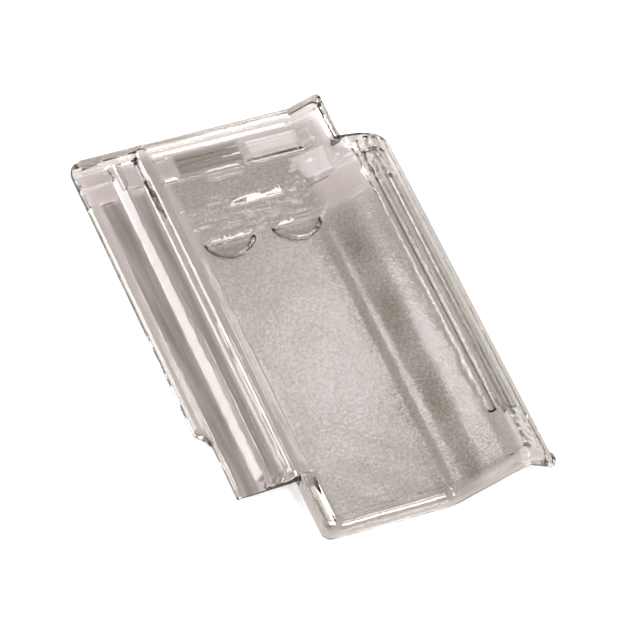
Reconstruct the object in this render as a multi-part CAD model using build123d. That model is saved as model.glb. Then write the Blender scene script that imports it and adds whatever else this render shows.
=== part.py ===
# Pressed clear glass roof tile: a flat pan, a roll down its right side and an
# interlocking side lock down its left, all one piece of glass.
# The tile lies on a level floor with its weather side up. X runs from the side
# lock to the roll, Y from the tail (the lower end on a roof) to the head.
# In this file x is measured from the left edge and y from the tail, and the
# finished tile is moved so that its origin lies under the middle of its outline.
from build123d import *
import os
import math

# overall
length = 412.0
width = 262.0
wall = 7.5
tail_ear = 4.0

# pan and roll, as heights above the floor
lip_height = 15.0
pan_top = lip_height
roll_rise = 30.0
roll_run = 62.0
crest_in = 22.0
edge_top = 31.5
edge_drop = 11.0
edge_wall = 6.5
fold_radius = 40.0
crest_radius = 14.0
soft = 1.6

# side lock: a thin tilted plate with an outer flange and one rib
lock_bottom = 3.0
lock_plate = 5.5
lock_tilt = 3.0
flange_width = 9.5
flange_top = 14.0
flank = 3.5
rib_start = 30.5
rib_width = 5.0
rib_top = 17.0
rib_stop = 8.0

# the pan's own rib, which stands beside the side lock and is narrow near the head
pan_rib_start = 56.5
pan_rib_width = 9.0
pan_rib_top = 20.0
pan_rib_slope = 5.0
narrow_rib_width = 4.0
narrow_rib_from_head = 124.0

# where the side lock and its flange stop short of the tail
lock_stop = 57.0
flange_stop = 112.0
flange_cut = 13.0
channel_dam = 9.0
channel_dam_top = 15.0
tail_inset = 7.5

# tail lip
lip_depth = 9.0
lip_round = 3.0
tail_corner = 9.0
roll_corner = 12.0

# head: outer rim, sunk floor, cross ribs and the cut back roll
rim_depth = 10.0
rim_top = 19.0
rim_round = 2.0
head_corner = 8.0
head_floor = 12.0
head_zone = 46.0
head_rise_in = 63.0
head_slope = 0.5
head_cut = 35.5
rim_rise = 10.5
rim_crown_in = 42.0
ramp_end = 56.0
roll_head_left = 54.0
roll_head_crest = 61.0

# ribs across the tile near the head, as distances from the head
first_rib_y = 38.0
second_rib_y = 80.0
third_rib_y = 109.0
cross_rib_depth = 8.0
cross_rib_height = 3.5
second_rib_height = 3.0
third_rib_height = 1.5
first_rib_gap = 6.0
second_rib_reach = 66.0
third_rib_gap = 8.0
cross_rib_in = 10.0

# raised pads in the head ends of the side lock's channels
pad_height = 2.0
outer_pad_end = 24.0
pad_end = 36.0

# two half moon nibs under the pan that hook over a roof batten
nib_width = 44.0
nib_depth = 18.0
nib_from_head = 110.0
nib_from_rib = 42.0
nib_from_roll = 15.0

# two ribs under the roll that hang into the next tile's side lock
shallow_rib_in = 31.5
shallow_rib_width = 5.0
shallow_rib_drop = 3.5
deep_rib_in = 17.5
deep_rib_width = 5.5
deep_rib_drop = 9.0
under_rib_stop = 57.0

# places that follow from the sizes, with what lies on the roll set out from the right edge
crest_x = width - crest_in
roll_start = crest_x - roll_run
head_rise_x = width - head_rise_in
head_right = width - head_cut
rim_crown_x = width - rim_crown_in
cross_rib_end = width - cross_rib_in
tail_side = pan_rib_start + tail_inset
rib_end = rib_start + 2 * flank + rib_width
rib_left = pan_rib_start + flank
slope = roll_rise / roll_run
fall = (pan_top + roll_rise - edge_top) / crest_in
cross_ribs = (
    (rib_left + first_rib_gap, roll_start, first_rib_y, cross_rib_height),
    (roll_start - second_rib_reach, cross_rib_end, second_rib_y, second_rib_height),
    (roll_start + third_rib_gap, cross_rib_end, third_rib_y, third_rib_height),
)
under_ribs = (
    (width - shallow_rib_in, shallow_rib_width, shallow_rib_drop),
    (width - deep_rib_in, deep_rib_width, deep_rib_drop),
)
nib_centres = (rib_left + nib_from_rib, roll_start - nib_from_roll)
joint = 1.0
tiny = 0.01


def top_at(x):
    """Height of the pan and roll's top surface at x, folds taken as sharp."""
    if x <= roll_start:
        return pan_top
    if x <= crest_x:
        return pan_top + slope * (x - roll_start)
    return pan_top + roll_rise - fall * (x - crest_x)


def drop_at(x):
    """Vertical thickness that gives the wall its true thickness at x."""
    if x <= roll_start:
        return wall
    if x <= crest_x:
        return wall * math.hypot(1, slope)
    return wall * math.hypot(1, fall)


def lock_floor(x):
    """Height of the side lock's floor, which rises a little to the pan."""
    return lock_bottom + lock_plate + lock_tilt * x / pan_rib_start


def head_at(x):
    """Height of the head's sunk floor at x."""
    return head_floor + max(0.0, x - head_rise_x) * head_slope


def across(points, y0, y1):
    """A section in x and z, each point with its corner radius, run from y0 to y1."""
    corners = [(x, z) for x, z, r in points]
    radii = [r for x, z, r in points]
    plane = Plane(origin=(0, y1, 0), x_dir=(1, 0, 0), z_dir=(0, -1, 0))
    outline = FilletPolyline(*corners, radius=radii, close=True)
    return extrude(plane * make_face(outline), y1 - y0)


def round_end(solid, y, radius):
    """The same solid with the edges of its end face at y rounded."""
    edges = [edge for edge in solid.edges() if abs(edge.center().Y - y) < tiny]
    return fillet(edges, radius)


def block(x0, x1, y0, y1, z0, z1):
    """A plain box between two corners."""
    size = Box(x1 - x0, y1 - y0, z1 - z0)
    return Pos((x0 + x1) / 2, (y0 + y1) / 2, (z0 + z1) / 2) * size


def lock_top():
    """Top of the side lock from the outer edge to the foot of the pan's rib."""
    return [
        (0, lock_bottom, soft),
        (0, flange_top, soft),
        (flange_width, flange_top, soft),
        (flange_width + flank, lock_floor(flange_width + flank), soft),
        (rib_start, lock_floor(rib_start), soft),
        (rib_start + flank, rib_top, soft),
        (rib_start + flank + rib_width, rib_top, soft),
        (rib_end, lock_floor(rib_end), soft),
        (pan_rib_start, lock_floor(pan_rib_start), soft),
        (rib_left, pan_rib_top, soft),
    ]


def roll_top():
    """Top of the roll from the fold to its right edge."""
    return [
        (roll_start, pan_top, fold_radius),
        (crest_x, pan_top + roll_rise, crest_radius),
        (width, edge_top, soft * 2),
        (width, edge_top - edge_drop, soft),
    ]


def main_section(rib_top_width):
    """The tile's section, with the given width on top of the pan's rib."""
    rib_right = rib_left + rib_top_width
    inner_x = width - edge_wall
    fold_shift = (wall * math.hypot(1, slope) - wall) / slope
    under = [
        (inner_x, edge_top - edge_drop, soft),
        (inner_x, top_at(inner_x) - drop_at(inner_x), soft),
        (crest_x, pan_top + roll_rise - drop_at(crest_x), crest_radius - wall),
        (roll_start + fold_shift, pan_top - wall, fold_radius + wall),
        (pan_rib_start + wall, pan_top - wall, soft),
        (pan_rib_start, lock_bottom + lock_tilt, soft),
    ]
    right_of_rib = [
        (rib_right, pan_rib_top, soft),
        (rib_right + pan_rib_slope, pan_top, soft * 2),
    ]
    return lock_top() + right_of_rib + roll_top() + under


def narrow_lock():
    """The side lock and the narrow pan rib alone, beside the ramp."""
    rib_right = rib_left + narrow_rib_width
    return lock_top() + [
        (rib_right, pan_rib_top, soft),
        (rib_right + pan_rib_slope, head_floor, soft),
        (rib_right + pan_rib_slope, pan_top - wall, tiny),
        (pan_rib_start + wall, pan_top - wall, tiny),
        (pan_rib_start, lock_bottom + lock_tilt, soft),
    ]


def head_section():
    """The section between the outer rim and the first cross rib."""
    rib_right = rib_left + narrow_rib_width
    end_drop = wall * math.hypot(1, head_slope)
    return lock_top() + [
        (rib_right, pan_rib_top, soft),
        (rib_right + pan_rib_slope, head_floor, soft),
        (head_rise_x, head_floor, fold_radius / 2),
        (head_right, head_at(head_right), soft),
        (head_right, head_at(head_right) - end_drop, soft),
        (head_rise_x, head_floor - wall, fold_radius / 2),
        (pan_rib_start + wall, head_floor - wall, soft),
        (pan_rib_start, lock_bottom + lock_tilt, soft),
    ]


def head_rim():
    """The rim along the head, which steps up over the roll."""
    end_drop = wall * math.hypot(1, head_slope)
    outline = [
        (0, lock_bottom, soft),
        (0, rim_top, soft * 2),
        (head_rise_x, rim_top, soft * 4),
        (rim_crown_x, rim_top + rim_rise, soft * 3),
        (head_right, rim_top + rim_rise, soft * 2),
        (head_right, head_at(head_right) - end_drop, soft),
        (head_rise_x, head_floor - wall, soft),
        (pan_rib_start + wall, head_floor - wall, soft),
        (pan_rib_start, lock_bottom + lock_tilt, soft),
    ]
    rim = across(outline, length - rim_depth, length)
    return round_end(rim, length, rim_round)


def tail_lip():
    """The lip turned down along the tail, with its outer edges rounded."""
    rib_right = tail_side + flank + narrow_rib_width
    ear_x = width + tail_ear
    outline = [
        (tail_side, 0, soft),
        (tail_side, pan_rib_top, soft * 2),
        (rib_right, pan_rib_top, soft),
        (rib_right + pan_rib_slope, pan_top, soft * 2),
        (roll_start, pan_top, fold_radius),
        (crest_x, pan_top + roll_rise, crest_radius),
        (ear_x, top_at(ear_x), soft * 2),
        (ear_x, top_at(ear_x) - lip_height, soft * 2),
        (crest_x, pan_top + roll_rise - lip_height, soft * 2),
        (roll_start, 0, fold_radius),
    ]
    return round_end(across(outline, 0, lip_depth), 0, lip_round)


def side_rim():
    """The lip turned down along the pan's left side, beyond the side lock."""
    rib_right = tail_side + flank + narrow_rib_width
    outline = [
        (tail_side, 0, soft),
        (tail_side, pan_rib_top, soft * 2),
        (rib_right, pan_rib_top, soft),
        (rib_right + pan_rib_slope, pan_top, soft * 2),
        (rib_right + pan_rib_slope + wall, pan_top, 0.1),
        (rib_right + pan_rib_slope + wall, pan_top - wall, 0.1),
        (tail_side + lip_depth, pan_top - wall, soft),
        (tail_side + lip_depth, 0, soft),
    ]
    return across(outline, lip_depth - joint, lock_stop + joint)


def cross_rib(x0, x1, y0, height):
    """A rib that follows the top surface from x0 to x1, at y0 from the head."""
    folds = ((roll_start, fold_radius), (crest_x, crest_radius))
    inside = [(x, radius) for x, radius in folds if x0 < x < x1]
    ends = [(x0, soft / 2)] + inside + [(x1, soft / 2)]
    upper = [(x, top_at(x) + height, radius) for x, radius in ends]
    lower = [(x, top_at(x) - wall / 2, radius) for x, radius in reversed(ends)]
    y1 = length - y0
    return across(upper + lower, y1 - cross_rib_depth, y1)


def under_rib(x, rib_wide, drop):
    """A rib along the underside of the roll, hanging down into the side lock."""
    x1 = x + rib_wide
    outline = [
        (x, top_at(x) - wall / 2, tiny),
        (x1, top_at(x1) - wall / 2, tiny),
        (x1, top_at(x1) - drop_at(x1) - drop, soft),
        (x, top_at(x) - drop_at(x) - drop, soft),
    ]
    return across(outline, under_rib_stop, length - roll_head_crest - joint)


def ramp():
    """The glass between the sunk head and the pan, which climbs to the roll's top."""
    left = rib_left
    fold_shift = (wall * math.hypot(1, slope) - wall) / slope
    low = [
        (left, head_floor - wall),
        (left, head_floor),
        (head_rise_x, head_floor),
        (head_right, head_at(head_right)),
        (head_right, head_at(head_right) - wall * math.hypot(1, head_slope)),
        (head_rise_x, head_floor - wall),
    ]
    high = [
        (left, pan_top - wall),
        (left, pan_top),
        (roll_start, pan_top),
        (head_right, top_at(head_right)),
        (head_right, top_at(head_right) - drop_at(head_right)),
        (roll_start + fold_shift, pan_top - wall),
    ]
    faces = []
    for points, y in ((low, length - head_zone), (high, length - ramp_end)):
        plane = Plane(origin=(0, y, 0), x_dir=(1, 0, 0), z_dir=(0, -1, 0))
        faces.append(plane * make_face(Polyline(*points, close=True)))
    return loft(faces, ruled=True)


def pads():
    """Raised pads in the head ends of the two channels."""
    outer_left = flange_width + flank / 2
    inner_left = rib_end - flank / 2
    rim = length - rim_depth + joint
    outer_top = lock_floor(outer_left) + pad_height
    inner_top = lock_floor(inner_left) + pad_height
    bottom = lock_bottom + lock_tilt
    outer = block(outer_left, rib_start + joint, length - pad_end, rim, bottom, outer_top)
    step_top = outer_top + pad_height / 2
    step = block(outer_left, rib_start + joint, length - outer_pad_end, rim, bottom, step_top)
    inner = block(inner_left, pan_rib_start + joint, length - pad_end, rim, bottom, inner_top)
    return outer + step + inner


def nib(centre):
    """A half moon nib, its straight side towards the head."""
    y_head = length - nib_from_head
    left = (centre - nib_width / 2, y_head)
    right = (centre + nib_width / 2, y_head)
    tip = (centre, y_head - nib_depth)
    outline = Line(left, right) + ThreePointArc(right, tip, left)
    return extrude(make_face(outline), pan_top - wall + joint)


def plan_outline():
    """The tile's outline seen from above, each corner with its radius."""
    lock_edge = flange_width + flank / 2
    return [
        (tail_side, 0, tail_corner),
        (width + tail_ear, 0, soft),
        (width + tail_ear, lip_depth / 2, soft * 2),
        (width, lip_depth, soft * 2),
        (width, length - roll_head_crest, roll_corner),
        (crest_x, length - roll_head_crest, roll_corner),
        (head_right, length - roll_head_left, soft),
        (head_right, length, soft * 3),
        (0, length, head_corner),
        (0, flange_stop + flange_cut, soft),
        (lock_edge, flange_stop, soft),
        (lock_edge, lock_stop, soft),
        (tail_side, lock_stop, soft),
    ]


def build_tile():
    """The whole tile, as one solid."""
    step_y = length - head_zone
    kink_y = length - narrow_rib_from_head
    ramp_y = length - ramp_end
    tile = across(main_section(pan_rib_width), lip_depth - joint, kink_y)
    tile += across(main_section(narrow_rib_width), kink_y - joint, ramp_y)
    tile += across(head_section(), step_y, length - rim_depth + joint)
    tile += across(narrow_lock(), ramp_y - joint, step_y + joint)
    tile += ramp()
    y1 = lock_stop + rib_stop
    tile -= block(rib_start + 1, rib_end, lock_stop, y1, lock_floor(rib_end), rib_top + 1)
    tile += head_rim()
    tile += tail_lip()
    tile += side_rim()
    tile += pads()
    for x0, x1, y0, height in cross_ribs:
        tile += cross_rib(x0, x1, y0, height)
    for x, rib_wide, drop in under_ribs:
        tile += under_rib(x, rib_wide, drop)
    dam_y = lock_stop + channel_dam
    tile += block(rib_end - flank, rib_left, lock_stop, dam_y, lock_bottom + lock_tilt, channel_dam_top)
    for centre in nib_centres:
        tile += nib(centre)
    corners = [(x, y) for x, y, r in plan_outline()]
    radii = [r for x, y, r in plan_outline()]
    outline = FilletPolyline(*corners, radius=radii, close=True)
    return tile & extrude(make_face(outline), length)


os.makedirs("parts", exist_ok=True)
tile = build_tile()
tile = Pos(-(width + tail_ear) / 2, -length / 2, 0) * tile
tile.label = "glass_roof_tile"
print("solids", len(tile.solids()), "volume", round(tile.volume / 1000, 1), "cm3")
print("box", tile.bounding_box())
export_step(tile, "parts/glass_roof_tile.step")
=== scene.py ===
"""Glass roof tile: the dressed model of one pressed tile, lying weather side up."""

import math
import types

import bpy
import numpy as np
from mathutils import Matrix, Vector


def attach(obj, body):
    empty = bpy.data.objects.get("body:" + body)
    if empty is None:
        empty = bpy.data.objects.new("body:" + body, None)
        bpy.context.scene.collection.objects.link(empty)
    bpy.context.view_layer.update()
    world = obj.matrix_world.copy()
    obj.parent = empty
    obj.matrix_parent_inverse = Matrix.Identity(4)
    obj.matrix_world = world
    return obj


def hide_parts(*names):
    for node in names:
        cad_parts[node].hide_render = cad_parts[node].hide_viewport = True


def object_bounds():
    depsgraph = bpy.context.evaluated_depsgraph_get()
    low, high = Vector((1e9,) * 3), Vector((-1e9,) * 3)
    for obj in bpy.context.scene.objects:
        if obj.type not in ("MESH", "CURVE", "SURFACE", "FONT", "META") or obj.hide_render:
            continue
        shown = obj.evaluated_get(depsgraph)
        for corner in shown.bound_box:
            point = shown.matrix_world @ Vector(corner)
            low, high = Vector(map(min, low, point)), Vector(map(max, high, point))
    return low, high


bl_info = {
    "name": "Glass Roof Tile",
    "version": (1, 0, 0),
    "blender": (4, 5, 0),
    "location": "View3D > Sidebar > Roof Tile",
    "description": "A pressed clear glass interlocking roof tile on a studio floor",
    "category": "Add Mesh",
}

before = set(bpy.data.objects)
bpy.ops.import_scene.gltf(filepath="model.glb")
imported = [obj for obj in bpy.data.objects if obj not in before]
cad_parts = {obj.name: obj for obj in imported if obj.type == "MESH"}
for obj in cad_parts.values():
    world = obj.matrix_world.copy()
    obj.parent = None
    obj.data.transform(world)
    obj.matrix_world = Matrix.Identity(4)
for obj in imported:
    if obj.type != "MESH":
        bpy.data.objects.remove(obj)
CAD_LOW, CAD_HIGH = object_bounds()
NODE = "glass_roof_tile"
# The second skin value is painted shade: how far the glass turns to the darker pebble colour.
SKINS = ("pan_skin", "painted_shade_cast")
PANEL_TAB = "Roof Tile"
MM = 0.001
TAIL_EAR = 4.0
TILE_LENGTH = round((CAD_HIGH.y - CAD_LOW.y) / MM, 3)
TILE_WIDTH = round((CAD_HIGH.x - CAD_LOW.x) / MM, 3) - TAIL_EAR

# Forms that several functions share, in millimetres
HEAD_SLOPE = 0.5  # rise of the sunk head's floor, per millimetre across
PADS_END = 44.5  # from the head to where the outer flange turns broad
PAD_CORNER = 2.5  # corner radius of the head's pads
STRIPED_BLOCK = (87, 147, 14.5, 38)  # left, right, nearest and farthest from the head


# Sizes and colours


def size(name, description, value):
    """A length that a user can change, given here in millimetres."""
    return bpy.props.FloatProperty(
        name=name, description=description, default=value * MM, unit="LENGTH", precision=4
    )


def number(name, description, value, unit="NONE"):
    """A number that a user can change, in the unit that is named."""
    return bpy.props.FloatProperty(name=name, description=description, default=value, unit=unit)


def linear(hex_code):
    """Linear colour of an sRGB hex value: the sRGB curve undone channel by channel."""
    parts = np.array([int(hex_code[i : i + 2], 16) for i in (1, 3, 5)]) / 255
    curve = np.where(parts <= 0.04045, parts / 12.92, ((parts + 0.055) / 1.055) ** 2.4)
    return tuple(float(v) for v in curve)


def colour(name, description, hex_code):
    """A colour that a user can change, given here as an sRGB hex value."""
    return bpy.props.FloatVectorProperty(
        name=name, description=description, subtype="COLOR", size=3, min=0, max=1,
        default=linear(hex_code),
    )


class TileSizes(bpy.types.PropertyGroup):
    """Sizes of the tile; places are from the left edge and from the tail unless they say head."""

    length: size("Length", "From the tail to the head", TILE_LENGTH)
    width: size("Width", "From the side lock to the roll's edge, less the ear", TILE_WIDTH)
    ear: size("Tail ear", "Tail lip's reach past the roll's edge", TAIL_EAR)
    wall: size("Wall", "Thickness of the glass", 7.5)
    pan_top: size("Pan height", "Top of the pan", 15)
    roll_rise: size("Roll rise", "Roll's crest above the pan", 30)
    roll_run: size("Roll run", "From the fold at the pan to the crest", 62)
    crest_in: size("Crest inset", "From the right edge to the crest", 22)
    edge_top: size("Edge top", "Top of the roll's right edge", 31.5)
    edge_drop: size("Edge drop", "Height of the roll's right edge", 11)
    edge_wall: size("Edge wall", "Thickness of the roll's right edge", 6.5)
    fold_radius: size("Fold radius", "Round of the fold between pan and roll", 24)
    crest_radius: size("Crest radius", "Round of the crest", 14)
    lock_bottom: size("Lock bottom", "Height of the lock's underside", 3)
    lock_plate: size("Lock plate", "Thickness of the side lock's plate", 5.5)
    lock_tilt: size("Lock tilt", "Rise of the lock's plate to the pan", 3)
    flange_width: size("Flange width", "Width of the outer flange", 9.5)
    flange_head: size("Flange head width", "Its width beside the pads", 2.2)
    flange_top: size("Flange top", "Top of the outer flange", 14)
    flank: size("Flank", "Width of each rib's sloping side", 3.5)
    rib_start: size("Lock rib place", "Left foot of the lock's own rib", 30.5)
    rib_width: size("Lock rib width", "Width on top of the lock's rib", 5)
    rib_top: size("Lock rib top", "Top of the lock's rib", 17)
    rib_stop: size("Lock rib stop", "From the lock's tail end to its rib", 8)
    pan_rib_start: size("Pan rib place", "Left foot of the pan's rib", 56.5)
    pan_rib_width: size("Pan rib width", "Width on top of the pan's rib", 7)
    pan_rib_top: size("Pan rib top", "Top of the pan's rib", 20)
    pan_rib_slope: size("Pan rib slope", "Width of the pan rib's side to the pan", 7)
    narrow_rib: size("Narrow rib", "Its width on top near head and tail", 4)
    narrow_from_head: size("Narrow rib length", "Length of the narrow rib", 124)
    lock_stop: size("Lock stop", "From the tail to the side lock", 57)
    flange_stop: size("Flange stop", "From the tail to the outer flange", 112)
    flange_cut: size("Flange cut", "Length of the flange's slanted end", 13)
    dam_depth: size("Dam depth", "Dam that closes the inner channel", 9)
    dam_top: size("Dam top", "Top of that dam", 15)
    tail_inset: size("Tail inset", "From the pan rib to the tail's left side", 7.5)
    lip_depth: size("Lip depth", "Thickness of the lip", 9)
    lip_bevel: size("Lip bevel", "Length of the lip's sloping face", 5.2)
    tail_corner: size("Tail corner", "Corner radius at the tail", 9)
    roll_corner: size("Roll corner", "Corner radius at the roll's cut end", 12)
    head_corner: size("Head corner", "Corner radius at the head's left end", 8)
    rim_depth: size("Rim depth", "Thickness of the rim", 10)
    rim_top: size("Rim top", "Top of the rim", 19)
    rim_flat: size("Rim flat", "Level part of the rim's top", 3.6)
    rim_drop: size("Rim drop", "Fall of the rim's sloping face", 2.4)
    rim_rise: size("Rim rise", "Step of the rim up over the roll", 10.5)
    rim_crown_in: size("Rim crown inset", "From the right edge to the rim's step", 42)
    head_floor: size("Head floor", "Top of the sunk floor at the head", 12)
    head_zone: size("Head zone", "Length of the sunk floor", 43)
    ramp_end: size("Ramp end", "From the head to the ramp's end", 74)
    head_rise_in: size("Head rise inset", "From the right edge to the head floor's rise", 63)
    head_cut: size("Head cut", "From the right edge to the head's right end", 35.5)
    roll_head_left: size("Roll end left", "Roll's cut end at its left, from the head", 54)
    roll_head_crest: size("Roll end", "Roll's cut end at the crest, from the head", 61)
    cross_in: size("Cross rib inset", "From the right edge to their ends", 10)
    pad_height: size("Pad height", "Height of the raised pads at the head", 1.7)
    nib_width: size("Nib width", "Width of a nib's straight side", 44)
    nib_depth: size("Nib depth", "Depth of a nib's half moon", 18)
    nib_from_head: size("Nib place", "Nibs' straight sides, from the head", 110)
    nib_from_rib: size("Left nib place", "Left nib's middle, from the pan's rib", 42)
    nib_from_roll: size("Right nib place", "Right nib's middle, from the roll", 15)


class GlassFinish(bpy.types.PropertyGroup):
    """Surface and colour of the pressed glass."""

    edge_round: size("Edge round", "Round of the tile's outer edges", 1.8)
    lip_round: size("Lip round", "Round of the tail lip's edges", 2.2)
    flange_round: size("Flange round", "Round of the outer flange's edges", 5.4)
    melt: size("Melt", "Softening of the mould's corners", 0.55)
    wave_height: size("Wave height", "Height of slow waves in the glass", 0.14)
    pebble_height: size("Pebble height", "Height of the fine pebbles", 0.14)
    roughness: number("Roughness", "Roughness of the fire finished skin", 0.045)
    ior: number("IOR", "Refractive index of soda lime glass", 1.52)
    body: colour("Body colour", "What the colour depth of glass lets through", "#d3d4cc")
    # The clear skin's mauve tint is painted in for the mauve grey surface seen through the glass.
    clear: colour("Clear skin", "Cast of the smooth pressed skin", "#ece2e4")
    # Painted shade: this darker colour stands in for light the pebbles scatter away and for shade
    # seen through the glass.
    haze: colour("Pebbled skin", "Cast of the pebbled skin", "#a89f97")
    depth: size("Colour depth", "Glass thickness that gives the body colour", 16)


class StudioSettings(bpy.types.PropertyGroup):
    """Floor, lamps and camera."""

    floor: colour("Floor", "Colour of the plain floor", "#f4f4f4")
    key_power: number("Key power", "Power of the large soft lamp", 8, "POWER")
    lens: number("Lens", "Focal length of the camera", 281.25, "CAMERA")


def plain(group):
    """A group's settings as plain values, with its lengths in millimetres."""
    values = types.SimpleNamespace()
    for key in type(group).__annotations__:
        value = getattr(group, key)
        length = group.bl_rna.properties[key].unit == "LENGTH"
        setattr(values, key, value / MM if length else value)
    return values


# Height fields of the glass


def ramp(v, start, end):
    """0 before start, 1 after end and a straight line between them."""
    return np.clip((v - start) / (end - start), 0, 1)


def plateau(v, start, end, flank):
    """0 outside start and end, 1 between them, with a straight flank up and down inside."""
    return ramp(v, start, start + flank) * (1 - ramp(v, end - flank, end))


def inside(v, start, end):
    """1 between start and end, otherwise 0."""
    return ((v >= start) & (v <= end)).astype(float)


def bend(x, place, change, radius):
    """Height added by a fold: 0 before it, change times the distance after it.
    Between the two tangent points the height is a parabola, (x - start) squared over
    four times the reach, where the reach is radius times tan of half the turn."""
    reach = max(radius * math.tan(abs(math.atan(change)) / 2), 0.5)
    t = np.clip(x - place + reach, 0, 2 * reach)
    return change * (t * t / (4 * reach) + np.maximum(x - place - reach, 0))


def bell(v, place, reach):
    """1 at the place and less on both sides: e to the minus (distance / reach) squared."""
    return np.exp(-(((v - place) / reach) ** 2))


def soften(field, sigma, step):
    """The field blurred with a Gaussian of that sigma along x and then along y."""
    half = int(3 * sigma / step) + 1
    weights = np.exp(-0.5 * (np.arange(-half, half + 1) * step / sigma) ** 2)
    weights /= weights.sum()
    for axis in (0, 1):
        pad = [(half, half) if a == axis else (0, 0) for a in (0, 1)]
        wide = np.pad(field, pad, mode="edge")
        count = field.shape[axis]
        field = sum(
            w * np.take(wide, np.arange(i, i + count), axis=axis) for i, w in enumerate(weights)
        )
    return field


def waves(x, y, shortest, longest, count, seed):
    """Uneven relief of about unit height: the sum of plane cosine waves whose direction,
    phase and wavelength between shortest and longest are drawn from the seed."""
    rng = np.random.default_rng(seed)
    angle = rng.uniform(0, 2 * math.pi, count)
    number_of = 2 * math.pi / rng.uniform(shortest, longest, count)
    phase = rng.uniform(0, 2 * math.pi, count)
    total = np.zeros(np.broadcast(x, y).shape)
    for a, k, p in zip(angle, number_of, phase):
        total += np.cos(k * (x * math.cos(a) + y * math.sin(a)) + p)
    return total * math.sqrt(2 / count)


def places(s):
    """Places that follow from the sizes, in millimetres from the left edge and the tail."""
    s.crest = s.width - s.crest_in
    s.fold = s.crest - s.roll_run
    s.head_right = s.width - s.head_cut
    s.head_rise = s.width - s.head_rise_in
    s.rim_crown = s.width - s.rim_crown_in
    s.tail_side = s.pan_rib_start + s.tail_inset
    s.rib_left = s.pan_rib_start + s.flank
    s.rib_end = s.rib_start + 2 * s.flank + s.rib_width
    s.slope = s.roll_rise / s.roll_run
    s.fall = (s.pan_top + s.roll_rise - s.edge_top) / s.crest_in
    return s


def lock_floor(s, x):
    """Height of the side lock's floor, which rises a little to the pan."""
    return s.lock_bottom + s.lock_plate + s.lock_tilt * x / s.pan_rib_start


def roll_over(s, x):
    """Top of pan and roll: pan height, plus the fold's rise, less the crest's fall."""
    rise = bend(x, s.fold, s.slope, s.fold_radius)
    return s.pan_top + rise - bend(x, s.crest, s.slope + s.fall, s.crest_radius)


def side_lock(s, x, flange):
    """Top of the side lock: flange, floor, the lock's rib with its broad left side, floor
    and the rounded left side of the pan's rib."""
    rib_right = s.rib_start + s.flank + s.rib_width
    foot = s.pan_rib_start - 2
    knots = (
        (0, s.flange_top), (flange, s.flange_top), (flange + s.flank, lock_floor(s, flange)),
        (s.rib_start, lock_floor(s, s.rib_start)), (s.rib_start + 6.2, s.rib_top - 0.1),
        (rib_right, s.rib_top), (s.rib_end, lock_floor(s, s.rib_end)),
        (foot, lock_floor(s, foot)), (foot + 2, s.pan_rib_top - 5),
        (foot + 3.8, s.pan_rib_top - 1.5), (foot + 6, s.pan_rib_top),
    )
    return np.interp(x, *zip(*knots))


def rib_to(s, x, left, top_width, low):
    """Height of the pan's rib: its top falls a little to the right, and then a straight
    side goes down to low."""
    fall = 0.12
    right = left + top_width
    top = s.pan_rib_top - fall * np.clip(x - left, 0, top_width)
    return top - (top - low) * ramp(x, right, right + s.pan_rib_slope)


def outline(x, y, x0, x1, y0, y1, radius):
    """Distance to the outline of a rectangle with round corners, less than 0 inside it: the
    length of the overhang past the corner square, less the radius."""
    across = np.abs(x - (x0 + x1) / 2) - (x1 - x0) / 2 + radius
    along = np.abs(y - (y0 + y1) / 2) - (y1 - y0) / 2 + radius
    over = np.hypot(np.maximum(across, 0), np.maximum(along, 0))
    return over + np.minimum(np.maximum(across, along), 0) - radius


def head_pads(s):
    """Smooth pads at the head: left, right, nearest and farthest from the head, height."""
    low, high = s.pad_height, s.pad_height * 1.7
    return (
        (3.4, 33.5, 12.0, 23.6, high), (3.4, 28.0, 25.2, 43.6, low), (39.0, 58.0, 13.5, 36.5, low),
        (67.0, 86.0, 14.5, 38.0, low), (148.5, 212.0, 16.5, 40.0, low),
        (228.5, 243.0, 65.0, 77.0, low), (226.0, 244.0, 91.0, 104.0, low),
    )


def cross_ribs(s):
    """Ribs across the tile: left, right, place from the head, height, facet and flank."""
    right = s.width - s.cross_in
    return (
        (s.rib_left + 8, 209, 38.5, 2.6, 0, 2.4), (107, 143, 43.5, 2.2, 4.0, 1.0),
        (111, 166, 74.5, 3.6, 5.6, 1.2), (192, right, 80, 3.2, 1.0, 1.2),
        (s.fold + 8, right, 108, 1.7, 3.0, 1.4),
    )


def cross_bar(v, place, height, facet, flank):
    """Section of a rib across the tile: a straight rise to the place, then gently down
    over the facet, which catches the high lamp, then steeply down over the flank."""
    rise, fall = 0.8, 0.456
    rest = height - fall * facet
    top = height * ramp(v, place - height / rise, place) - fall * np.clip(v - place, 0, facet)
    return top - rest * ramp(v, place + facet, place + facet + flank)


def ramp_share(s, x, from_head):
    """0 on the head's sunk floor, 1 on pan and roll: a straight ramp in the distance from
    the head, met sooner close to the head's right end, where the roll is full height."""
    side = ramp(x, s.head_right - 14, s.head_right)
    side = side * ramp(from_head, s.head_zone + 3, s.roll_head_left)
    share = np.maximum(ramp(from_head, s.head_zone, s.ramp_end), side)
    beyond = x - s.head_right
    return np.where((beyond > 0) & (from_head > s.roll_head_left - beyond), 1.0, share)


def nib_arcs(s):
    """Each nib's middle, straight side, and its half moon's centre and radius."""
    chord, sagitta = s.nib_width / 2, s.nib_depth
    radius = (chord * chord + sagitta * sagitta) / (2 * sagitta)
    straight = s.length - s.nib_from_head
    centres = (s.rib_left + s.nib_from_rib, s.fold - s.nib_from_roll)
    return [(centre, straight, straight - sagitta + radius, radius) for centre in centres]


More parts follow.
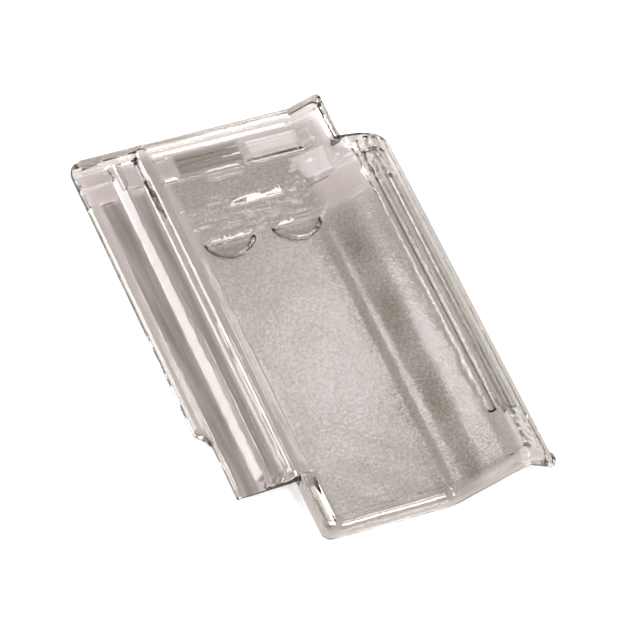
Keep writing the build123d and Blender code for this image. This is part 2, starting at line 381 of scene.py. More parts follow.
def zone_tops(s, x, y):
    """Weather side without its small forms: pan and roll, sunk head, pan's rib and side
    lock, each chosen by its place, and the dam that closes the inner channel."""
    from_head = s.length - y
    pan = roll_over(s, x)
    sunk = s.head_floor + np.maximum(x - s.head_rise, 0) * HEAD_SLOPE
    floor = sunk + (pan - sunk) * ramp_share(s, x, from_head)
    wide_rib = rib_to(s, x, s.rib_left, s.pan_rib_width, s.pan_top)
    slim_rib = rib_to(s, x, s.rib_left, s.narrow_rib, s.head_floor)
    tail_rib = rib_to(s, x, s.tail_side + s.flank, s.narrow_rib, s.pan_top)
    body = np.maximum(floor, np.where(from_head < s.narrow_from_head, slim_rib, wide_rib))
    at_tail = (y < s.lock_stop) & (x > s.rib_left)
    body = np.where(at_tail, np.maximum(body, tail_rib), body)
    narrow, broad = side_lock(s, x, s.flange_head), side_lock(s, x, s.flange_width)
    top = np.where(x < s.rib_left, np.where(from_head < PADS_END, narrow, broad), body)
    stop = inside(y, 0, s.lock_stop + s.rib_stop) * inside(x, s.rib_start, s.rib_end)
    top = np.where(stop > 0, lock_floor(s, x), top)
    dam = plateau(y, -9, s.lock_stop + s.dam_depth + 2, 1.6) * plateau(x, 35, s.rib_left + 2, 1.6)
    return top + dam * np.maximum(s.dam_top + 0.5 * waves(x, y, 4, 7, 16, 57) - top, 0)


def roll_forms(s, x, y):
    """Height added on the roll: a belly that gives its face soft bands of light along its
    length, beads over the edges of the first rib under the crest, and a hammered strip
    beside the crest and over the roll's head end."""
    from_head = s.length - y
    belly_height, belly_wave, bead_reach, hammer_depth = 0.7, 36, 1.3, 0.2
    belly = plateau(x, s.fold, s.crest - 5, 8) * ramp(from_head, s.ramp_end + 24, s.ramp_end + 44)
    added = belly_height * belly * np.sin(2 * math.pi * (x - s.crest + 25) / belly_wave)
    for place, height in ((s.crest - 10.6, 0.8), (s.crest - 3.8, 0.9)):
        line = bell(x, place, bead_reach) * ramp(from_head, 92, 100) * ramp(y, 50, 62)
        added = added + height * line
    strip_right = s.crest - 11.5
    hammered = plateau(x, s.crest - 19, strip_right, 2) * ramp(y, 52, 66)
    head_end = plateau(x, s.crest - 15, s.crest + 6, 3) * ramp(from_head, 60, 64)
    hammered = np.maximum(hammered, head_end)
    hammered = hammered * np.where(x < strip_right, 1, 1 - ramp(from_head, 104, 110))
    return added + hammer_depth * hammered * waves(x, y * 0.8, 3.6, 6.0, 26, 61)


def pan_forms(s, x, y):
    """Height added on side lock and pan: the lock rib's uneven face, a bead at the pan's
    left, ribs and streaks across the tile, and each nib's straight side and arc."""
    from_head = s.length - y
    face_depth, bead_height, streak_depth = 0.2, 0.4, 0.19
    face = plateau(x, s.rib_start, s.rib_start + 8, 2) * ramp(from_head, 46, 54)
    added = face_depth * face * ramp(y, 66, 74) * waves(x * 0.5, y, 9, 18, 14, 83)
    pan_left = s.rib_left + s.pan_rib_width + s.pan_rib_slope
    bead = bell(x, pan_left + 2.6, 1.1) * (y > 62)
    bead = bead * ramp(from_head, s.narrow_from_head, s.narrow_from_head + 12)
    added = added + bead_height * bead
    for x0, x1, place, height, facet, flank in cross_ribs(s):
        added = added + plateau(x, x0, x1, 3) * cross_bar(from_head, place, height, facet, flank)
    rough = plateau(x, s.rib_left + 10, s.fold + 10, 4) * plateau(from_head, 40, 118, 8)
    added = added + streak_depth * rough * waves(x * 0.24, y, 4.0, 8.0, 30, 41)
    for centre, straight, centre_y, radius in nib_arcs(s):
        chord = inside(np.abs(x - centre), 0, s.nib_width / 2)
        bar = cross_bar(-y, -straight - 1.0, 2.4, 4.6, 0.5) * chord
        added = added + bar * np.clip(0.95 + 0.1 * waves(x, y * 0.2, 5, 9, 12, 73), 0, 2)
        away = np.hypot(x - centre, y - centre_y) - radius
        added = added + np.maximum(cross_bar(away, 0, 1.0, 2.2, 0.1), 0) * (y < straight - 2)
    return added


def head_forms(s, x, y, top):
    """The top with the head's smooth pads, a flat facet where the sunk floor climbs to the
    roll, the rim's return along the head's right end with a short bar, and the stripes."""
    from_head = s.length - y
    for x0, x1, near, far, height in head_pads(s):
        gap = outline(x, from_head, x0, x1, near, far, PAD_CORNER)
        top = top + height * ramp(-gap, -0.6, 0.9)
    tilt_left, tilt_head = 0.30, 0.20
    facet = s.head_floor + 0.3 + tilt_left * (x - 182) + tilt_head * (from_head - 44)
    share = plateau(x, 181, 212, 2.5) * plateau(from_head, 45, 80, 2.0)
    top = top + share * (facet - top)
    return_height, bar_height = 2.4, 1.4
    end = plateau(x, s.head_right - 8, s.head_right + 9, 2.4) * (1 - ramp(from_head, 42, 52))
    bar = plateau(x, 210, 217, 2.2) * plateau(from_head, 43, 69, 3)
    top = top + return_height * end + bar_height * bar * (1 - end)
    left, right, near, far = STRIPED_BLOCK
    stripe_height, stripe_pitch = 0.35, 7.8
    stripes = 0.5 - 0.5 * np.cos(2 * math.pi * (from_head - near) / stripe_pitch)
    block = plateau(x, left, right, 1.5) * plateau(from_head, near, far, 1)
    return top + block * stripe_height * stripes


def tail_forms(s, x, y):
    """Height added at the tail: a hammered patch over the ear and sparse dimples above the
    lip, less the step along the roll's part of the lip and the lip's sloping face."""
    hammer_depth, step_drop, bevel_slope = 0.3, 2.1, 0.7
    patch = plateau(x, 238, s.width + 2, 3) * plateau(y, 9, 52, 4)
    dimples = plateau(x, 92, 158, 6) * plateau(y, 13, 22, 2)
    added = hammer_depth * patch * waves(x, y, 4.5, 8, 22, 67)
    added = added + hammer_depth * dimples * waves(x, y, 2.6, 4.4, 22, 71)
    step = plateau(x, s.fold - 6, s.crest - 2, 6) * (1 - ramp(y, 8.6, 9.2))
    return added - step_drop * step - bevel_slope * np.maximum(s.lip_bevel - y, 0)


def top_heights(s, x, y):
    """Weather side: the zones with their small forms, and the rim laid on along the head
    by taking the higher of the two heights."""
    top = zone_tops(s, x, y) + roll_forms(s, x, y) + pan_forms(s, x, y)
    top = head_forms(s, x, y, top) + tail_forms(s, x, y)
    from_head = s.length - y
    rim = s.rim_top + s.rim_rise * ramp(x, s.head_rise, s.rim_crown)
    rim = rim - s.rim_drop * ramp(from_head, s.rim_flat, s.rim_depth - 1)
    on = 1 - ramp(from_head, s.rim_depth - 1, s.rim_depth + 1.5)
    return top + on * np.maximum(rim - top, 0)


def pan_under(s, x):
    """Underside of pan and roll: the folds of their top, set off by the wall square to
    each slope."""
    thick = s.wall * math.hypot(1, s.slope)
    shift = (thick - s.wall) / s.slope
    thick_right = s.wall * math.hypot(1, s.fall)
    inner = s.width - s.edge_wall
    crest_under = s.pan_top + s.roll_rise - thick
    inner_under = s.pan_top + s.roll_rise - s.fall * (inner - s.crest) - thick_right
    turn = s.slope + (crest_under - inner_under) / (inner - s.crest)
    pan = s.pan_top - s.wall + bend(x, s.fold + shift, s.slope, s.fold_radius + s.wall)
    return pan - bend(x, s.crest, turn, s.crest_radius - s.wall)


def under_grooves(s):
    """Shallow grooves across the underside, which show as dark lines from above: left,
    right, place from the head and depth."""
    return (
        (88, 146, 19.5, 1.2), (88, 146, 26.5, 1.2), (88, 146, 33.0, 1.2), (146, 213, 42.5, 1.5),
        (180, 206, 82.5, 1.6), (s.tail_side + 10, s.width - 18, s.length - 13, 1.3),
    )


def bottom_heights(s, x, y):
    """Underside: pan, sunk head and side lock, with the under ribs, nibs and leg down to
    the floor, the grooves, and the lip laid on by taking the lower of the two heights."""
    from_head = s.length - y
    pan = pan_under(s, x)
    set_off = (math.hypot(1, HEAD_SLOPE) - 1) * s.wall * 2
    # level for the last 6 mm before the head's right end
    slanted = np.where(x > s.head_right, x, np.minimum(x, s.head_right - 6))
    sunk = s.head_floor - s.wall + np.maximum(slanted - s.head_rise - set_off, 0) * HEAD_SLOPE
    under = sunk + (pan - sunk) * ramp_share(s, x, from_head)
    plate = s.lock_bottom + s.lock_tilt * x / s.pan_rib_start
    join_end = s.pan_rib_start + s.wall
    join = plate + (under - plate) * ramp(x, s.pan_rib_start, join_end)
    under = np.where(x < join_end, join, under)
    edge = np.minimum(under, s.edge_top - s.edge_drop)
    under = np.where(x > s.width - s.edge_wall, edge, under)
    ribs_start, ribs_end = 57, s.length - s.roll_head_crest
    # ribs under the roll: place from the right edge, width and depth
    for place, width, depth in ((31.5, 5, 3.5), (17.5, 5.5, 9)):
        x0 = s.width - place
        on = inside(x, x0, x0 + width) * inside(y, ribs_start, ribs_end)
        level = np.interp(x0 + width / 2, x[0], pan[0]) - depth
        under = np.where(on > 0, np.minimum(under, level), under)
    nib_draft = 1.5
    for centre, straight, centre_y, radius in nib_arcs(s):
        away = np.hypot(x - centre, y - centre_y)
        draft = np.clip(radius - away, 0, nib_draft) / nib_draft * ramp(straight - y, 0, 1.0)
        under = under * (1 - draft)
    leg = inside(x, s.tail_side - 1, s.width) * (1 - ramp(x, s.tail_side + 3, s.tail_side + 12))
    under = under * (1 - leg * (y < s.lock_stop))
    # a groove round each pad but the farthest from the head
    for x0, x1, near, far, height in head_pads(s)[:-1]:
        gap = outline(x, from_head, x0, x1, near, far, PAD_CORNER)
        under = under + 1.1 * bell(gap, 0, 1.1)
    for x0, x1, line, depth in under_grooves(s):
        under = under + depth * plateau(x, x0, x1, 2) * bell(from_head, line, 1.2)
    lip = roll_over(s, x) - s.pan_top
    return under + (1 - ramp(y, s.lip_depth - 4, s.lip_depth + 2)) * np.minimum(lip - under, 0)


# Mesh of the tile


def spaced(stations):
    """Grid lines from (place, spacing) pairs: each stretch is divided evenly, at about
    the mean of the spacings at its two ends."""
    lines = [np.array([stations[0][0]])]
    for (a, step_a), (b, step_b) in zip(stations[:-1], stations[1:]):
        count = max(1, int(round((b - a) / ((step_a + step_b) / 2))))
        lines.append(np.linspace(a, b, count + 1)[1:])
    return np.concatenate(lines)


def grid_lines(s):
    """Grid lines across and along the tile, close together at edges, ribs and steps."""
    across = spaced((
        (0, 0.4), (1, 0.6), (3, 1.3), (s.flange_width - 1, 1.3),
        (s.flange_width + s.flank / 2, 1.0), (s.flange_width + s.flank + 1, 1.0), (16, 2.0),
        (s.rib_start - 1, 1.8), (s.rib_start + s.flank + 1, 0.9), (s.rib_end - s.flank - 1, 1.1),
        (s.rib_end + 1, 0.9), (46, 2.0), (s.pan_rib_start - 1, 1.8), (s.rib_left, 0.9),
        (s.tail_side, 0.9), (s.tail_side + 1.5, 0.7), (76, 1.1), (82, 1.7),
        (s.head_right - 4, 1.75), (s.head_right, 0.8), (228, 0.9), (237, 1.0), (243, 1.4),
        (251, 0.9), (s.width - s.edge_wall, 1.2), (s.width - 3, 1.2), (s.width - 1, 0.7),
        (s.width, 0.4),
    ))
    head = s.length
    along = spaced((
        (0, 0.5), (1, 0.6), (3, 1.0), (s.lip_depth - 1.5, 1.1), (s.lip_depth + 1.5, 0.8),
        (14, 2.0), (s.lock_stop - 2.5, 2.2), (s.lock_stop, 0.8), (s.lock_stop + 2, 1.0),
        (s.lock_stop + s.dam_depth + 1, 1.0), (72, 2.2), (s.flange_stop - 3, 2.4),
        (s.flange_stop, 0.9), (s.flange_stop + 3, 1.2), (120, 2.4), (280, 2.4), (284, 1.6),
        (head - 119, 1.5), (head - 107, 1.2), (head - 90, 1.5), (head - 78, 1.1),
        (head - s.roll_head_left - 3, 1.6), (head - s.roll_head_left, 0.8),
        (head - 52, 1.1), (head - 36, 1.1), (head - 24, 1.2), (head - s.rim_depth - 1.5, 1.1),
        (head - s.rim_depth + 1.5, 0.8), (head - 3, 1.2), (head - 1, 0.6), (head, 0.4),
    ))
    return across, along


def kept_cells(s, across, along):
    """True for each grid cell inside the plan: the rectangle less the three notches."""
    x = (across[:-1] + across[1:])[None] / 2
    y = (along[:-1] + along[1:])[:, None] / 2
    lock_end = (x < s.tail_side) & (y < s.lock_stop)
    flange_end = (x < s.flange_width + s.flank / 2) & (y < s.flange_stop)
    head_end = (x > s.head_right) & (y > s.length - s.roll_head_left)
    return ~(lock_end | flange_end | head_end)


def round_corner(x, y, corner_x, corner_y, toward_x, toward_y, radius):
    """Moves the grid in a square block at a corner so that its two outer sides become an
    arc: (a, b) goes to (a sqrt(1 - b b / 2), b sqrt(1 - a a / 2)) from the arc's centre."""
    centre_x, centre_y = corner_x - toward_x * radius, corner_y - toward_y * radius
    a = (x - centre_x) * toward_x / radius
    b = (y - centre_y) * toward_y / radius
    block = (a > 0) & (b > 0) & (a < 1.001) & (b < 1.001)
    new_a = a * np.sqrt(np.maximum(1 - b * b / 2, 0))
    new_b = b * np.sqrt(np.maximum(1 - a * a / 2, 0))
    return (
        np.where(block, centre_x + toward_x * new_a * radius, x),
        np.where(block, centre_y + toward_y * new_b * radius, y),
    )


def shape_plan(s, x, y):
    """Moves grid points so that the plan's slanted and round edges are followed."""
    start = s.length - s.roll_head_left
    drop = s.roll_head_crest - s.roll_head_left
    share = ramp(y, start - 40, start) * (y <= start + 0.01)
    y = y - share * drop * ramp(x, s.head_right, s.crest)
    lock_edge = s.flange_width + s.flank / 2
    share = (1 - ramp(y, s.flange_stop, s.flange_stop + 50)) * (y >= s.flange_stop - 0.01)
    y = y + share * s.flange_cut * (1 - ramp(x, 0, lock_edge))
    ear = 1 - ramp(y, s.lip_depth / 2, s.lip_depth)
    x = x + s.ear * ear * ramp(x, s.width - 22, s.width)
    for corner in (
        (s.tail_side, 0, -1, -1, s.tail_corner),
        (0, s.length, -1, 1, s.head_corner),
        (s.head_right, s.length, 1, 1, 4.8),
        (s.width, s.length - s.roll_head_crest, 1, 1, s.roll_corner),
        (s.width + s.ear, 0, 1, -1, 2.5),
    ):
        x, y = round_corner(x, y, *corner)
    return x, y


def border_edges(keep):
    """Corner index pairs of the cells' outer edges, each with the glass on its left."""
    rows, columns = keep.shape
    index = np.arange((rows + 1) * (columns + 1)).reshape(rows + 1, columns + 1)
    wide = np.pad(keep, 1)
    below = keep & ~wide[:-2, 1:-1]
    above = keep & ~wide[2:, 1:-1]
    left = keep & ~wide[1:-1, :-2]
    right = keep & ~wide[1:-1, 2:]
    pairs = (
        (index[:-1, :-1][below], index[:-1, 1:][below]),
        (index[:-1, 1:][right], index[1:, 1:][right]),
        (index[1:, 1:][above], index[1:, :-1][above]),
        (index[1:, :-1][left], index[:-1, :-1][left]),
    )
    return np.concatenate([np.stack(p, 1) for p in pairs])


def distance_to(points, starts, ends):
    """Distance from each point to the nearest of the straight edges, in blocks of points."""
    way = ends - starts
    square = (way * way).sum(1)
    found = np.empty(len(points))
    for first in range(0, len(points), 4000):
        offset = points[first : first + 4000, None] - starts[None]
        along = np.clip((offset * way).sum(2) / square, 0, 1)
        gap = offset - along[..., None] * way
        found[first : first + 4000] = np.sqrt((gap * gap).sum(2).min(1))
    return found


def sample(field, step, origin, x, y):
    """Value of a fine square grid between its four nearest points, by straight lines."""
    u, v = (x - origin) / step, (y - origin) / step
    i = np.clip(u.astype(int), 0, field.shape[1] - 2)
    j = np.clip(v.astype(int), 0, field.shape[0] - 2)
    a, b = u - i, v - j
    low = field[j, i] * (1 - a) + field[j, i + 1] * a
    high = field[j + 1, i] * (1 - a) + field[j + 1, i + 1] * a
    return low * (1 - b) + high * b


def relief(finish, x, y, seed):
    """Small unevenness of a pressed face: slow waves of 25 to 60 mm and 9 to 16 mm."""
    slow = waves(x, y, 25, 60, 14, seed)
    quick = waves(x, y, 9, 16, 22, seed + 1)
    return finish.wave_height * (0.6 * slow + 0.12 * quick)


def pan_skin(s, x, y):
    """1 where the mould printed its pebbled face, 0 where the glass is smooth."""
    from_head = s.length - y
    pan = ramp(x, s.rib_left + 15, s.rib_left + 18) * (1 - 0.3 * ramp(x, s.fold - 2, s.fold + 8))
    pan = pan * (1 - 0.4 * ramp(x, s.crest - 14, s.crest))
    pan = pan * ramp(from_head, 38, 42) * ramp(y, 6, 9)
    for x0, x1, place, height, facet, flank in cross_ribs(s):
        rib = plateau(x, x0, x1, 3) * plateau(from_head, place - 2, place + facet + flank, 0.8)
        pan = pan * (1 - rib)
    for centre, straight, centre_y, radius in nib_arcs(s):
        chord = inside(np.abs(x - centre), 0, s.nib_width / 2)
        bar = chord * plateau(y, straight - 5, straight + 3, 0.8)
        arc = plateau(np.hypot(x - centre, y - centre_y) - radius, -2, 3, 1)
        pan = pan * (1 - np.maximum(bar, arc * (y < straight - 2)))
    for x0, x1, near, far, height in head_pads(s):
        pan = pan * ramp(outline(x, from_head, x0, x1, near, far, PAD_CORNER), -1, 1)
    smooth = ramp(x, 186, 194) * (1 - ramp(from_head, 104, 122))
    return pan * (1 - 0.85 * smooth)


def painted_shade_cast(s, x, y, pan):
    """How much painted shade the skin takes: about half on the pan, for light its pebbles
    scatter away, more on the roll's face, in soft painted bands of shade along it, in the
    lock's channels, deeper near the feet of the ribs, and on the striped block."""
    from_head = s.length - y
    # Painted shade: soft darker bands along the roll's face.
    shade_bands = bell(x, 172, 5) + 1.3 * bell(x, 198, 7.5)
    shade_bands = shade_bands * ramp(from_head, 95, 150) * (0.75 + 0.25 * waves(x * 0.3, y, 60, 120, 6, 91))
    share = 1 / (1 - 0.3 * ramp(x, s.fold - 2, s.fold + 8))
    # Painted shade: about half on the pan and a little more on the roll's face.
    cast = pan * share * (0.42 + 0.1 * ramp(x, s.fold, s.fold + 10) + 0.32 * shade_bands)
    # Painted shade in the lock's channels, deeper near the feet of the ribs.
    lock = plateau(x, s.flange_width + 1, s.rib_start + 2, 3)
    lock = lock + plateau(x, s.rib_end - 2, s.pan_rib_start - 1, 3)
    foot = bell(x, s.rib_start - 6, 7) + bell(x, s.rib_end + 6, 5)
    streaks = 0.12 * waves(x, y * 0.05, 4, 9, 12, 97)
    cast = np.maximum(cast, lock * (0.54 + 0.2 * foot + streaks) * ramp(from_head, 42, 45))
    left, right, near, far = STRIPED_BLOCK
    block = plateau(x, left, right, 2) * plateau(from_head, near - 0.5, far + 2, 2)
    return np.maximum(cast, 0.8 * block)


def edge_drops(s, finish, x, y, away):
    """How far both faces drop near the plan's edge to roll over into the wall: at d from
    the edge, for a round of radius r, r - sqrt(r r - (r - d)(r - d))."""
    radius = np.where(y < s.lip_depth, finish.lip_round, finish.edge_round)
    flange = (x < s.flange_width) & (y > s.flange_stop)
    radius = np.where(flange, finish.flange_round, radius)
    head_end = (x > s.head_right - 4) & (y > s.length - s.roll_head_left + 1)
    radius = np.where(head_end, 1.0, radius)
    inward = np.clip(radius - away, 0, radius)
    return radius - np.sqrt(radius * radius - inward * inward)


def face_heights(s, finish, x, y, away):
    """Heights of the weather side and the underside at points of the plan, which lie away
    from its edge: both fields melted a little, uneven, and rolled over at the edge."""
    step, origin = 0.5, -6.0
    fine_x = np.arange(origin, s.width + s.ear + 6, step)[None]
    fine_y = np.arange(origin, s.length + 6, step)[:, None]
    top, bottom = (
        sample(soften(heights(s, fine_x, fine_y), finish.melt, step), step, origin, x, y)
        for heights in (top_heights, bottom_heights)
    )
    drop = edge_drops(s, finish, x, y, away)
    # the lock's tail end slants outwards to the underside
    lock_end = (x < s.tail_side) & (y > s.lock_stop - 1) & (y < s.lock_stop + 6)
    over = np.maximum(drop, np.where(lock_end, 0.72, 0) * np.maximum(5 - away, 0))
    # the relief is calm along the edges and at the head
    calm = ramp(away, 0, 6) * (0.25 + 0.75 * ramp(s.length - y, 40, 62))
    ceiling = CAD_HIGH.z / MM - 0.02
    top = np.minimum(top + relief(finish, x, y, 11) * calm, ceiling) - over
    bottom = np.maximum(bottom + relief(finish, x, y, 23) * calm, 0) + drop
    return top, bottom


def tile_mesh(s, finish):
    """Points, quads and skin values of the tile: its pebbling and its painted shade. The top
    and the underside are height fields over one grid, and three rows of wall join them
    round the plan."""
    across, along = grid_lines(s)
    x, y = (grid.ravel() for grid in shape_plan(s, *np.meshgrid(across, along)))
    keep = kept_cells(s, across, along)
    borders = border_edges(keep)
    spots = np.stack((x, y), 1)
    away = distance_to(spots, spots[borders[:, 0]], spots[borders[:, 1]])
    top, bottom = face_heights(s, finish, x, y, away)
    count = len(x)
    rows, columns = keep.shape
    corner = np.arange(count).reshape(rows + 1, columns + 1)
    corners = (corner[:-1, :-1], corner[:-1, 1:], corner[1:, 1:], corner[1:, :-1])
    quads = np.stack([indices[keep] for indices in corners], 1)
    rim = np.unique(borders)
    place = np.zeros(count, int)
    place[rim] = np.arange(len(rim))
    upper, lower = (top[rim] + (bottom[rim] - top[rim]) * share for share in (0.12, 0.88))
    a, b = borders[:, 0], borders[:, 1]
    first = 2 * count
    second = first + len(rim)
    levels = (
        (a, b), (first + place[a], first + place[b]), (second + place[a], second + place[b]),
        (count + a, count + b),
    )
    walls = [
        np.stack((high[0], low[0], low[1], high[1]), 1)
        for high, low in zip(levels[:-1], levels[1:])
    ]
    faces = np.concatenate((quads, quads[:, ::-1] + count, *walls))
    layers = ((x, y, top), (x, y, bottom), (x[rim], y[rim], upper), (x[rim], y[rim], lower))
    points = np.concatenate([np.stack(layer, 1) for layer in layers])
    pan = pan_skin(s, x, y)
    # Painted shade, carried on the points beside the pebbled skin.
    cast = painted_shade_cast(s, x, y, pan)
    skin = np.stack([np.concatenate((v, v, np.zeros(2 * len(rim)))) for v in (pan, cast)])
    used = np.unique(faces)
    renumber = np.zeros(len(points), int)
    renumber[used] = np.arange(len(used))
    return points[used], renumber[faces], skin[:, used]


def put_mesh(name, points, faces, smooth=True):
    """A mesh object from whole arrays, linked to the scene at the origin."""
    mesh = bpy.data.meshes.new(name)
    mesh.vertices.add(len(points))
    mesh.vertices.foreach_set("co", np.asarray(points, np.float32).ravel())
    mesh.loops.add(faces.size)
    mesh.loops.foreach_set("vertex_index", faces.ravel().astype(np.int32))
    mesh.polygons.add(len(faces))
    starts = np.arange(0, faces.size, faces.shape[1], dtype=np.int32)
    mesh.polygons.foreach_set("loop_start", starts)
    mesh.polygons.foreach_set("use_smooth", np.full(len(faces), smooth))
    mesh.update(calc_edges=True)
    mesh.validate()
    thing = bpy.data.objects.new(name, mesh)
    bpy.context.scene.collection.objects.link(thing)
    return thing


# Materials


def node(tree, kind, settings=(), links=()):
    """Adds a shader node, sets its attributes and sockets, and links its inputs."""
    made = tree.nodes.new("ShaderNode" + kind)
    for key, value in dict(settings).items():
        if isinstance(key, str) and hasattr(made, key):
            setattr(made, key, value)
        else:
            made.inputs[key].default_value = value
    for key, source in dict(links).items():
        tree.links.new(source, made.inputs[key])
    return made


def new_material(name):
    """An empty node material with its output node."""
    made = bpy.data.materials.new(name)
    made.use_nodes = True
    made.node_tree.nodes.clear()
    return made, made.node_tree, node(made.node_tree, "OutputMaterial")


def pressed_glass(finish):
    """Pressed soda lime glass: gathered hot, pressed in an iron mould and fire finished.
    The eye sees a clear body with a grey colour that deepens at the thick edges, a smooth
    skin on lips and ribs, and fine orange peel over the pan that breaks up light. The skin's
    mauve tint is painted in for the surface seen through the glass, and its darker pebble
    colour is painted shade."""
    pebble_width, ripple_width, grain_width = 2.1 * MM, 9 * MM, 2.2 * MM
    made, tree, out = new_material("pressed_soda_lime_glass")
    coordinates = node(tree, "TexCoord").outputs["Object"]
    # grey carries the painted shade of each point.
    skin, grey = (
        node(tree, "Attribute", {"attribute_name": name}).outputs["Fac"] for name in SKINS
    )
    # pebbles as cells whose distance is squared, which rounds them, over slow chill ripples
    cell = node(
        tree, "TexVoronoi", {"feature": "F1", "Scale": 1 / pebble_width}, {"Vector": coordinates}
    ).outputs["Distance"]
    pebble = node(tree, "Math", {"operation": "MULTIPLY"}, {0: cell, 1: cell}).outputs["Value"]
    ripple = node(
        tree, "TexNoise", {"Scale": 1 / ripple_width, "Detail": 1.0, "Roughness": 0.5},
        {"Vector": coordinates},
    ).outputs["Fac"]
    amount = node(
        tree, "MapRange", {"To Min": 0.02, "To Max": 0.15}, {"Value": skin}
    ).outputs["Result"]
    peel = node(tree, "Math", {"operation": "MULTIPLY"}, {0: pebble, 1: amount}).outputs["Value"]
    height = node(
        tree, "Math", {"operation": "MULTIPLY_ADD", 1: 0.06}, {0: ripple, 2: peel}
    ).outputs["Value"]
    bump = node(
        tree, "Bump", {"Strength": 1.0, "Distance": finish.pebble_height * 4 * MM},
        {"Height": height},
    ).outputs["Normal"]
    rough = node(
        tree, "MapRange",
        {"To Min": finish.roughness * 0.8, "To Max": finish.roughness * 4.5}, {"Value": skin},
    ).outputs["Result"]
    # fine mottling where the mould's face printed its grain
    grain = node(
        tree, "TexNoise", {"Scale": 1 / grain_width, "Detail": 3.0, "Roughness": 0.65},
        {"Vector": coordinates},
    ).outputs["Fac"]
    uneven = node(
        tree, "MapRange",
        {"From Min": 0.3, "From Max": 0.7, "To Min": -0.8, "To Max": 0.8, "clamp": False},
        {"Value": grain},
    ).outputs["Result"]
    spread = node(
        tree, "Math", {"operation": "MULTIPLY_ADD", 2: 1.0}, {0: uneven, 1: skin}
    ).outputs["Value"]
    # Painted shade: the skin's colour turns from the clear tint to the darker pebble colour as
    # grey rises, broken by the grain.
    share = node(
        tree, "Math", {"operation": "MULTIPLY", "use_clamp": True}, {0: grey, 1: spread}
    ).outputs["Value"]
    cast = node(tree, "Mix", {"data_type": "RGBA"}, {"Factor": share})
    colours = [socket for socket in cast.inputs if socket.type == "RGBA"]
    # the clear tint is a painted mauve for the surface seen through the glass
    colours[0].default_value = (*finish.clear, 1)
    colours[1].default_value = (*finish.haze, 1)
    tint = next(socket for socket in cast.outputs if socket.type == "RGBA")
    shader = node(
        tree, "BsdfPrincipled", {"IOR": finish.ior, "Transmission Weight": 1.0},
        {"Normal": bump, "Roughness": rough, "Base Color": tint},
    ).outputs["BSDF"]
    # absorption that leaves the body colour after the colour depth of glass
    logs = [math.log(max(c, 0.01)) for c in finish.body]
    density = -min(logs) / (finish.depth * MM)
    body = node(
        tree, "VolumeAbsorption",
        {"Color": (*(1 - v / min(logs) for v in logs), 1), "Density": density},
    ).outputs["Volume"]
    tree.links.new(shader, out.inputs["Surface"])
    tree.links.new(body, out.inputs["Volume"])
    return made


def studio_floor(settings):
    """Matt white painted board: even and pale, it keeps the tile's soft shadow. A lift of
    its own light, for rays seen directly, on or through the glass, whitens the background."""
    grain_width, grain_height, lift = 2.5 * MM, 0.2 * MM, 0.42
    made, tree, out = new_material("matt_white_board")
    rays = node(tree, "LightPath").outputs
    seen = rays["Is Camera Ray"]
    for kind in ("Is Glossy Ray", "Is Transmission Ray"):
        larger = node(tree, "Math", {"operation": "MAXIMUM"}, {0: seen, 1: rays[kind]})
        seen = larger.outputs["Value"]
    coordinates = node(tree, "TexCoord").outputs["Object"]
    grain = node(
        tree, "TexNoise", {"Scale": 1 / grain_width, "Detail": 2.0}, {"Vector": coordinates}
    ).outputs["Fac"]
    bump = node(
        tree, "Bump", {"Strength": 0.05, "Distance": grain_height}, {"Height": grain}
    ).outputs["Normal"]
    board = node(
        tree, "BsdfDiffuse", {"Color": (*settings.floor, 1)}, {"Normal": bump}
    ).outputs["BSDF"]
    power = node(tree, "Math", {"operation": "MULTIPLY", 1: lift}, {0: seen}).outputs["Value"]
    glow = node(
        tree, "Emission", {"Color": (1, 1, 1, 1)}, {"Strength": power}
    ).outputs["Emission"]
    both = node(tree, "AddShader", (), {0: board, 1: glow}).outputs["Shader"]
    tree.links.new(both, out.inputs["Surface"])
    return made


# Operators and panel


class TILE_OT_glass(bpy.types.Operator):
    """Build the pressed glass tile in place of the plain solid"""

    bl_idname = "roof_tile.glass"
    bl_label = "Glass tile"

    def execute(self, context):
        s = places(plain(context.scene.tile_sizes))
        finish = plain(context.scene.glass_finish)
        points, faces, values = tile_mesh(s, finish)
        shift = ((s.width + s.ear) / 2, s.length / 2, 0)
        tile = put_mesh("glass_tile_body", (points - shift) * MM, faces)
        for name, value in zip(SKINS, values):
            layer = tile.data.attributes.new(name, "FLOAT", "POINT")
            layer.data.foreach_set("value", value.astype(np.float32))
        tile.data.materials.append(pressed_glass(finish))
        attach(tile, "root")
        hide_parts(NODE)
        return {"FINISHED"}


class TILE_OT_studio(bpy.types.Operator):
    """Lay the pale floor, hang the soft lamps and set the camera"""

    bl_idname = "roof_tile.studio"
    bl_label = "Studio"

    def execute(self, context):
        settings = context.scene.studio_settings
        reach, below, air_light = 12.0, 0.2 * MM, 0.35
        corners = np.array([(-1, -1, 0), (1, -1, 0), (1, 1, 0), (-1, 1, 0)], float) * reach
        corners[:, 2] = -below
        floor = put_mesh("studio_floor", corners, np.array([[0, 1, 2, 3]]), smooth=False)
        floor.data.materials.append(studio_floor(settings))
        for lamp in soft_lamps(settings):
            hang_lamp(*lamp)
        world = bpy.data.worlds.new("studio_air")
        world.use_nodes = True
        background = world.node_tree.nodes["Background"]
        background.inputs["Color"].default_value = (1, 1, 1, 1)
        background.inputs["Strength"].default_value = air_light
        context.scene.world = world
        context.scene.view_settings.view_transform = "Standard"
        set_camera(settings)
        return {"FINISHED"}


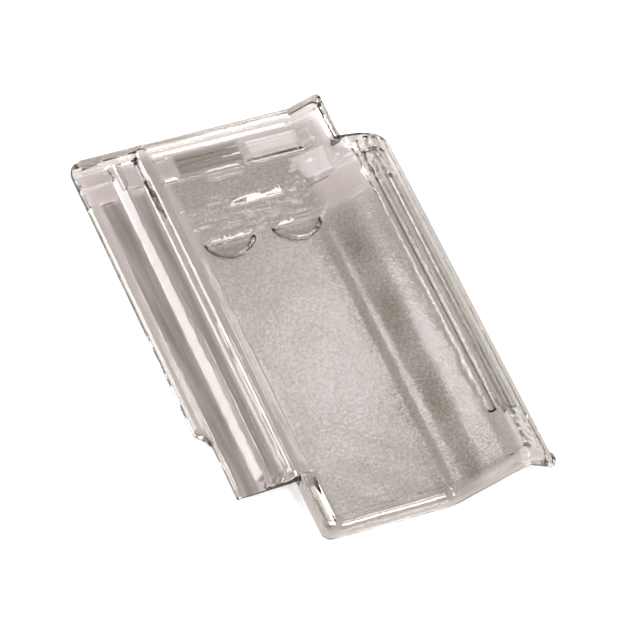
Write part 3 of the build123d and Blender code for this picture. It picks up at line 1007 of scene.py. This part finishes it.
def soft_lamps(settings):
    """Name, place, target, width, height, all in metres, and power in watts of each lamp."""
    return (
        ("key_lamp", (-1.0, -1.3, 2.2), (0, 0, 0), 1.6, 1.2, settings.key_power),
        ("pan_lamp", (0.377, 0.55, 0.96), (0, -0.04, 0), 0.16, 0.22, 1.15),
        ("left_lamp", (-1.20, 0.79, 0.50), (0, 0, 0), 0.85, 0.75, 15),
        ("right_strip", (1.05, 0.79, 0.73), (0, 0, 0), 0.15, 0.3, 1.6),
        ("top_strip", (0.45, -0.27, 1.40), (0, 0.1, 0), 0.5, 0.3, 5.5),
        ("front_strip", (0.37, -0.88, 0.93), (0, -0.2, 0), 0.45, 0.22, 5.0),
        ("pad_lamp", (0.440, 0.859, 0.96), (0.047, 0.178, 0), 0.12, 0.08, 0.08),
        ("head_lamp", (-0.02, 1.10, 0.64), (0.07, 0.15, 0), 0.45, 0.4, 2.2),
        ("right_low_lamp", (1.14, 0.63, 0.14), (0.12, 0, 0.04), 0.9, 0.2, 0.6),
        ("slope_lamp", (-0.75, 0.68, 0.80), (0.07, 0, 0), 0.2, 0.8, 4.0),
    )


def hang_lamp(name, place, target, width, height, power):
    """An oval soft lamp at a place, turned to face the target."""
    light = bpy.data.lights.new(name, "AREA")
    light.shape = "ELLIPSE"
    light.size, light.size_y = width, height
    light.energy = power
    lamp = bpy.data.objects.new(name, light)
    lamp.location = place
    way = Vector(target) - Vector(place)
    lamp.rotation_mode = "QUATERNION"
    lamp.rotation_quaternion = way.to_track_quat("-Z", "Y")
    bpy.context.scene.collection.objects.link(lamp)


def set_camera(settings):
    """The photograph's view: round the tile by azimuth, up by elevation, then rolled, at a
    distance, with the aim moved across and up in the picture."""
    azimuth, elevation, roll = (math.radians(v) for v in (-30.88, 52.33, 10.56))
    distance, across, up = 4119 * MM, 13.6 * MM, 5.0 * MM
    right = Vector((math.cos(azimuth), math.sin(azimuth), 0))
    back = Vector((
        math.sin(azimuth) * math.cos(elevation), -math.cos(azimuth) * math.cos(elevation),
        math.sin(elevation),
    ))
    above = back.cross(right)
    turned_right = right * math.cos(roll) + above * math.sin(roll)
    turned_up = above * math.cos(roll) - right * math.sin(roll)
    data = bpy.data.cameras.new("studio_camera")
    data.lens = settings.lens
    data.sensor_width = 36
    data.clip_start, data.clip_end = 0.1, 100
    camera = bpy.data.objects.new("studio_camera", data)
    turn = Matrix((turned_right, turned_up, back)).transposed().to_4x4()
    spot = turned_right * across + turned_up * up + back * distance
    spot.x -= TAIL_EAR / 2 * MM
    camera.matrix_world = Matrix.Translation(spot) @ turn
    bpy.context.scene.collection.objects.link(camera)
    bpy.context.scene.camera = camera


class TILE_PT_panel(bpy.types.Panel):
    """Buttons for the tile and the studio, with their settings"""

    bl_idname = "TILE_PT_panel"
    bl_label = "Glass Roof Tile"
    bl_space_type = "VIEW_3D"
    bl_region_type = "UI"
    bl_category = PANEL_TAB

    def draw(self, context):
        for name, kind, operator in GROUPS:
            box = self.layout.box()
            box.operator(operator.bl_idname)
            for key in kind.__annotations__:
                box.prop(getattr(context.scene, name), key)


GROUPS = (
    ("tile_sizes", TileSizes, TILE_OT_glass), ("glass_finish", GlassFinish, TILE_OT_glass),
    ("studio_settings", StudioSettings, TILE_OT_studio),
)
CLASSES = (TileSizes, GlassFinish, StudioSettings, TILE_OT_glass, TILE_OT_studio, TILE_PT_panel)


def register():
    """Registers the classes and hangs each group of settings on the scene."""
    for kind in CLASSES:
        bpy.utils.register_class(kind)
    for name, kind, operator in GROUPS:
        setattr(bpy.types.Scene, name, bpy.props.PointerProperty(type=kind))


def unregister():
    """Undoes register in the opposite order."""
    for name, kind, operator in reversed(GROUPS):
        delattr(bpy.types.Scene, name)
    for kind in reversed(CLASSES):
        bpy.utils.unregister_class(kind)


def main():
    register()
    bpy.ops.roof_tile.glass()
    bpy.ops.roof_tile.studio()


if __name__ == "__main__":
    main()
